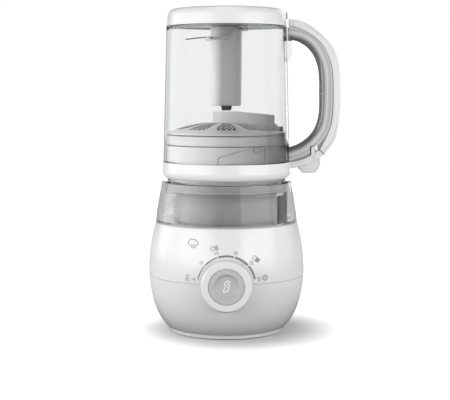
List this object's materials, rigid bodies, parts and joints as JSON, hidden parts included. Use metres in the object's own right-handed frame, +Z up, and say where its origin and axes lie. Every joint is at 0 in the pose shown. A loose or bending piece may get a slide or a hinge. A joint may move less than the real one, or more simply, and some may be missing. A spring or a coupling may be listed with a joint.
{
  "type": "baby food maker",
  "caption": "Steamer and blender for baby food: round base with water tank and timer knob, clear jug standing on its lid, loop handle with release tab, long blade hub.",
  "frame": {"origin": "centre of the base's ring foot at table level", "axes": "+Z up, -Y the control side, +X the jug's handle side"},
  "size_m": [0.1866, 0.168, 0.3136],
  "materials": {
    "white_plastic": "smooth satin-gloss moulded white",
    "grey_plastic": "light grey moulded, fine satin",
    "clear_plastic": "clear moulded, polished",
    "smoky_plastic": "clear grey-tinted, polished",
    "grip_plastic": "grey translucent, polished",
    "button_grey": "mid grey satin",
    "black_plastic": "moulded matt",
    "dark_rubber": "matt rubber",
    "silicone": "milky silicone",
    "steel": "fine ground stainless",
    "lamination_steel": "stacked sheet",
    "aluminium": "die cast",
    "brass": "stamped",
    "copper": "enamelled winding",
    "circuit_board": "solder mask"
  },
  "bodies": {
    "base": {"rubber_foot": "dark_rubber", "foot_ring": "white_plastic", "bottom_cover": "white_plastic", "chassis_plate": "black_plastic", "bottom_screws": "steel", "lower_housing": "white_plastic", "upper_housing": "white_plastic", "cord_gland": "dark_rubber", "dial_seat": "white_plastic", "button_guide": "black_plastic", "control_board": "circuit_board", "board_parts": "black_plastic", "dial_encoder": "black_plastic", "blend_switch": "black_plastic", "motor_stator": "lamination_steel", "field_windings": "copper", "motor_bracket_lower": "aluminium", "motor_bracket_upper": "aluminium", "motor_bearings": "steel", "motor_mounts": "dark_rubber", "brush_holders": "brass", "boiler": "aluminium", "boiler_lid": "steel", "thermostat": "steel", "steam_nozzle": "silicone", "water_tube": "silicone", "jug_seat": "grey_plastic", "interlock_switch": "black_plastic", "water_tank": "smoky_plastic", "tank_gasket": "dark_rubber"},
    "motor_rotor": {"motor_shaft": "steel", "armature": "lamination_steel", "commutator": "copper", "cooling_fan": "black_plastic", "drive_coupling": "black_plastic"},
    "timer_dial": {"timer_dial": "white_plastic"},
    "blend_button": {"blend_button": "button_grey", "button_spring": "steel"},
    "interlock_pin": {"interlock_pin": "white_plastic"},
    "filler_flap": {"filler_flap": "smoky_plastic"},
    "jug_lid": {"jug_lid": "white_plastic", "lid_collar": "grey_plastic", "steam_valve": "silicone", "lever_pin": "steel", "lever_spring": "steel"},
    "release_lever": {"release_lever": "white_plastic"},
    "strainer": {"strainer": "grey_plastic"},
    "seal_ring": {"jug_seal": "silicone"},
    "jug": {"jug": "clear_plastic", "jug_base_cap": "white_plastic", "spindle_bearing": "black_plastic", "handle_grip": "grip_plastic", "handle_spine": "white_plastic"},
    "blade_unit": {"blade_hub": "grey_plastic", "blade_tip": "black_plastic", "lower_blade": "steel", "upper_blade": "steel", "drive_spindle": "steel", "driven_coupling": "black_plastic"}
  },
  "joints": [
    {"name": "assembly_lift", "type": "slide", "parent": "base", "child": "jug_lid", "axis": [0, 0, 1], "range_m": [0, 0.08]},
    {"name": "interlock_rise", "type": "slide", "parent": "base", "child": "interlock_pin", "axis": [0, 0, 1], "range_m": [0, 0.003]},
    {"name": "motor_spin", "type": "hinge", "parent": "base", "child": "motor_rotor", "pos_m": [0, 0, 0.15], "axis": [0, 0, 1], "continuous": true},
    {"name": "dial_turn", "type": "hinge", "parent": "base", "child": "timer_dial", "pos_m": [0, -0.08, 0.056], "axis": [0, 1, 0], "range_deg": [0, 171]},
    {"name": "button_press", "type": "slide", "parent": "base", "child": "blend_button", "axis": [0, 1, 0], "range_m": [0, 0.0025], "stiffness_N_per_m": 900, "deforming": ["button_spring"]},
    {"name": "flap_open", "type": "hinge", "parent": "base", "child": "filler_flap", "pos_m": [0, 0.0784, 0.1494], "axis": [-1, 0, 0], "range_deg": [0, 100]},
    {"name": "lever_pull", "type": "hinge", "parent": "jug_lid", "child": "release_lever", "pos_m": [0.0844, 0, 0.1702], "axis": [0, 1, 0], "range_deg": [0, 6], "stiffness_Nm_per_rad": 0.8, "deforming": ["lever_spring"]},
    {"name": "strainer_lift", "type": "slide", "parent": "jug_lid", "child": "strainer", "axis": [0, 0, 1], "range_m": [0, 0.04]},
    {"name": "lid_twist", "type": "hinge", "parent": "strainer", "child": "seal_ring", "pos_m": [0, 0, 0.157], "axis": [0, 0, 1], "range_deg": [0, 30]},
    {"name": "jug_lift", "type": "slide", "parent": "seal_ring", "child": "jug", "axis": [0, 0, 1], "range_m": [0, 0.15]},
    {"name": "blade_spin", "type": "hinge", "parent": "jug", "child": "blade_unit", "pos_m": [0, 0, 0.26], "axis": [0, 0, 1], "continuous": true}
  ],
  "couplings": [
    {"joint": "interlock_rise", "follows": "assembly_lift", "ratio": 0.0375}
  ]
}
